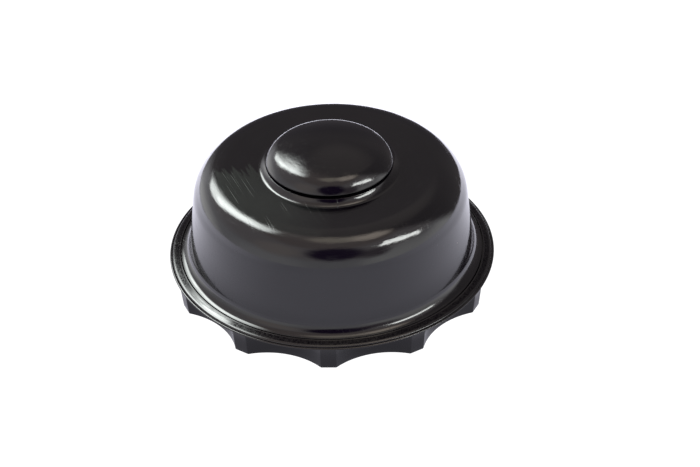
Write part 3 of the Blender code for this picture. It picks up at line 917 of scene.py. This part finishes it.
def zinc():
    """Clear-passivated zinc: cloudy, faintly blue and yellow, with fine tool marks."""
    material, graph, shader = new_material("zinc_screw", metallic=1.0)
    cloud = graph.noise(graph.place(), 420.0, 3.0)
    grain = graph.noise(graph.place(), 5000.0, 2.0)
    graph.link(graph.spread(cloud, 0.3, 0.7, 0.26, 0.46), shader.inputs["Roughness"])
    tint = graph.drift(cloud, 0.35, 0.65, (0.60, 0.63, 0.66), (0.66, 0.62, 0.50))
    graph.link(tint, shader.inputs["Base Color"])
    add_bump(graph, shader, [(grain, 0.006, 0.5)])
    return material


def rubber():
    """Black rubber: matt, with a fine pebbled skin and a light bloom."""
    material, graph, shader = new_material("black_rubber", specular=0.35)
    bloom = graph.noise(graph.place(), 130.0, 4.0)
    skin = graph.noise(graph.place(), 3200.0, 2.0)
    graph.link(graph.spread(bloom, 0.3, 0.7, 0.62, 0.85), shader.inputs["Roughness"])
    tint = graph.drift(bloom, 0.35, 0.7, (0.016, 0.016, 0.016), (0.034, 0.033, 0.032))
    graph.link(tint, shader.inputs["Base Color"])
    add_bump(graph, shader, [(skin, 0.03, 0.5)])
    return material


# ---------------------------------------------------------------- studio

# Camera: its distance from a point on the axis at the aim height (metres), its direction from there
# (degrees), its roll, and how far it looks to the right of and below that point (radians)
CAMERA_DISTANCE = 0.8991
CAMERA_AIM_HEIGHT = 0.025
CAMERA_AZIMUTH = 2.36
CAMERA_ELEVATION = 35.997
CAMERA_ROLL = math.radians(-1.652)
AIM_RIGHT = math.radians(0.386)
AIM_DOWN = math.radians(0.553)
FOCAL_LENGTH = 146.9

# Backdrop and floor, in metres
BACKDROP_RADIUS = 4.5
HIDDEN_FROM = ("diffuse", "glossy", "transmission", "volume_scatter", "shadow")
FLOOR_REACH = 3.0
FLOOR_FADE = 0.16
FLOOR_END = 0.24
FLOOR_DROP = -0.0004

# The room's lowest tone; then the low and high elevation of each change, and the tone above it
BASE_TONE = (1.22, 1.22, 1.27)
LAYERS = [
    (14, 34, (1.04, 0.97, 0.98)),
    (56, 64, (0.84, 0.72, 0.68)),
    (77, 84, (1.25, 1.08, 0.98)),
]

# Soft spots: azimuth, elevation, inner and outer angle, colour
SPOTS = [
    (-50, -2, 8, 40, (1.55, 1.55, 1.6)),
    (55, 0, 10, 40, (1.85, 1.85, 1.85)),
    (-118, -12, 6, 32, (2.5, 2.5, 2.5)),
    (100, -6, 10, 32, (2.1, 2.1, 2.1)),
    (158, 26, 46, 58, (0.25, 0.23, 0.23)),
    (180, -6, 14, 40, (0.13, 0.12, 0.13)),
    (168, 60, 8, 26, (0.46, 0.42, 0.40)),
    (97, 75, 3, 13, (3.4, 3.0, 2.6)),
    (-48, 38, 6, 22, (1.35, 1.22, 1.16)),
    (38, 31, 6, 17, (0.40, 0.34, 0.38)),
    (5, 43, 14, 24, (0.05, 0.02, 0.10)),
    (0, 90, 2, 12, (2.1, 1.9, 1.6)),
]

# Windows: corners as azimuth, elevation and the softness of the edge that starts there; then the colour
LEFT_WINDOW = [(-145, 22, 5), (-143, 56, 4), (-128, 67, 4), (-104, 64, 2), (-122, 32, 2), (-136, 20, 2)]
LEFT_PANE = [(-136, 32, 3), (-137, 56, 4), (-113, 61, 3), (-127, 32, 3)]
RIGHT_WINDOW = [(48, 44.6, 0.8), (60, 51.8, 0.8), (86, 35.5, 0.8), (83, 26, 0.8)]
WINDOWS = [
    (LEFT_WINDOW, (11, 11.6, 11.3)),
    (LEFT_PANE, (19, 20, 19.5)),
    (RIGHT_WINDOW, (17, 17.5, 17)),
]


def direction(azimuth, elevation):
    """Unit vector. Azimuth is counted from -Y (the camera's side) towards +X, in degrees."""
    a, e = math.radians(azimuth), math.radians(elevation)
    return Vector((math.sin(a) * math.cos(e), -math.cos(a) * math.cos(e), math.sin(e)))


def glow(name, colour, strength):
    """A material that only gives off light, with its graph and its emission node."""
    material = bpy.data.materials.new(name)
    material.use_nodes = True
    tree = material.node_tree
    tree.nodes.remove(tree.nodes["Principled BSDF"])
    emission = tree.nodes.new("ShaderNodeEmission")
    emission.inputs["Color"].default_value = (*colour, 1.0)
    emission.inputs["Strength"].default_value = strength
    tree.links.new(emission.outputs[0], tree.nodes["Material Output"].inputs["Surface"])
    return material, Graph(tree), emission


def stage_mesh(name, points, faces, material):
    mesh = bpy.data.meshes.new(name)
    mesh.from_pydata(points, [], faces)
    mesh.materials.append(material)
    item = bpy.data.objects.new(name, mesh)
    bpy.context.scene.collection.objects.link(item)
    return item


def make_backdrop():
    """A white dome that only the camera sees."""
    bm = bmesh.new()
    bmesh.ops.create_uvsphere(bm, u_segments=48, v_segments=24, radius=BACKDROP_RADIUS)
    mesh = bpy.data.meshes.new("backdrop")
    bm.to_mesh(mesh)
    bm.free()
    mesh.materials.append(glow("backdrop_white", (1, 1, 1), 1.15)[0])
    dome = bpy.data.objects.new("backdrop", mesh)
    bpy.context.scene.collection.objects.link(dome)
    for kind in HIDDEN_FROM:
        setattr(dome, f"visible_{kind}", False)


def make_floor():
    """A white floor that only reflections see, glowing with painted light: a painted contact shadow near the
    object, and painted light brighter outward, left and behind.
    """
    material, graph, emission = glow("floor_white", (1.03, 1.02, 1.16), 1.15)
    x, y, _, radius = graph.axes()
    # Painted shadow: the glow falls off near the object. Painted light: the glow grows outward, to the left
    # and behind.
    painted_contact_shadow = graph.spread(radius, 0.046, 0.080, 0.42, 1.12, smooth=True)
    outward = graph.spread(radius, 0.08, 0.2, 0.45, 1.6)
    backward = graph.spread(graph.math("DIVIDE", y, radius), -0.85, 0.9, 0.0, 1.0)
    leftward = graph.spread(graph.math("DIVIDE", x, radius), -1.0, 1.0, 1.3, 0.9)
    painted_floor_light = graph.math("ADD", graph.product(backward, outward, leftward), 1.0)
    end = graph.spread(y, FLOOR_FADE, FLOOR_END, 1.0, 0.12, smooth=True)
    graph.link(graph.product(painted_contact_shadow, painted_floor_light, end), emission.inputs["Strength"])
    reach, back, drop = FLOOR_REACH, FLOOR_END, FLOOR_DROP
    corners = [(-reach, -reach, drop), (reach, -reach, drop), (reach, back, drop), (-reach, back, drop)]
    floor = stage_mesh("floor", corners, [(0, 1, 2, 3)], material)
    floor.visible_camera = False


def facing(graph, way, aim):
    """Cosine of the angle between a direction in the room and a fixed aim."""
    dot = graph.add("ShaderNodeVectorMath", {"operation": "DOT_PRODUCT"})
    graph.link(way, dot.inputs[0])
    dot.inputs[1].default_value = tuple(aim)
    return dot.outputs["Value"]


def spot_mask(graph, way, azimuth, elevation, inner, outer):
    """1 within the inner angle of a direction, falling to 0 at the outer angle, in degrees."""
    edges = [math.cos(math.radians(outer)), math.cos(math.radians(inner))]
    return graph.spread(facing(graph, way, direction(azimuth, elevation)), *edges, 0.0, 1.0, smooth=True)


def outline_mask(graph, way, outline):
    """1 inside a convex outline of (azimuth, elevation, softness of the edge that starts there)."""
    sides = []
    corners = [direction(a, e) for a, e, _ in outline]
    for k, (_, _, soft) in enumerate(outline):
        inward = corners[k].cross(corners[(k + 1) % len(outline)]).normalized()
        if inward.dot(sum(corners, Vector())) < 0:
            inward.negate()
        size = math.sin(math.radians(soft))
        sides.append(graph.spread(facing(graph, way, inward), -size, size, 0.0, 1.0, smooth=True))
    return graph.product(*sides)


def make_world():
    """Soft room light: white low down, dimmer above, dark behind, with soft spots and bright windows."""
    world = bpy.data.worlds.new("studio")
    world.use_nodes = True
    bpy.context.scene.world = world
    graph = Graph(world.node_tree)
    background = world.node_tree.nodes["Background"]
    way = graph.add("ShaderNodeTexCoord").outputs["Generated"]
    height = graph.add("ShaderNodeSeparateXYZ", None, Vector=way).outputs["Z"]
    colour = BASE_TONE
    for low, high, tone in LAYERS:
        edges = [math.sin(math.radians(low)), math.sin(math.radians(high))]
        colour = graph.mix(graph.spread(height, *edges, 0.0, 1.0, smooth=True), colour, tone)
    for azimuth, elevation, inner, outer, tone in SPOTS:
        colour = graph.mix(spot_mask(graph, way, azimuth, elevation, inner, outer), colour, tone)
    for outline, tone in WINDOWS:
        colour = graph.mix(outline_mask(graph, way, outline), colour, tone)
    graph.link(colour, background.inputs["Color"])


def make_camera():
    """The view from the front, a little to the right and above, with a slight roll."""
    back = direction(CAMERA_AZIMUTH, CAMERA_ELEVATION)
    level = direction(CAMERA_AZIMUTH + 90, 0)
    upward = back.cross(level)
    right = level * math.cos(CAMERA_ROLL) + upward * math.sin(CAMERA_ROLL)
    upright = upward * math.cos(CAMERA_ROLL) - level * math.sin(CAMERA_ROLL)
    forward = (-back + right * math.tan(AIM_RIGHT) - upright * math.tan(AIM_DOWN)).normalized()
    right = (right - forward * right.dot(forward)).normalized()
    upright = right.cross(forward)
    matrix = Matrix((right, upright, -forward)).transposed().to_4x4()
    matrix.translation = Vector((0, 0, CAMERA_AIM_HEIGHT)) + back * CAMERA_DISTANCE
    lens = bpy.data.cameras.new("camera")
    lens.lens = FOCAL_LENGTH
    lens.sensor_width = 36.0
    lens.clip_start = 0.05
    lens.clip_end = 20.0
    camera = bpy.data.objects.new("camera", lens)
    camera.matrix_world = matrix
    bpy.context.scene.collection.objects.link(camera)
    bpy.context.scene.camera = camera


def main():
    gloss, satin, steel, screw, soft = gloss_black(), satin_black(), plated_steel(), zinc(), rubber()
    make_socket_ring(satin)
    make_cup_shell(gloss)
    make_mould_line(gloss)
    make_boss_cap(gloss)
    make_seal(soft)
    make_insert(steel)
    make_plate(steel)
    make_pad(soft)
    make_ring_screws(screw)
    make_plate_screws(screw)
    make_backdrop()
    make_floor()
    make_world()
    make_camera()
    bpy.context.scene.view_settings.view_transform = "Standard"


main()
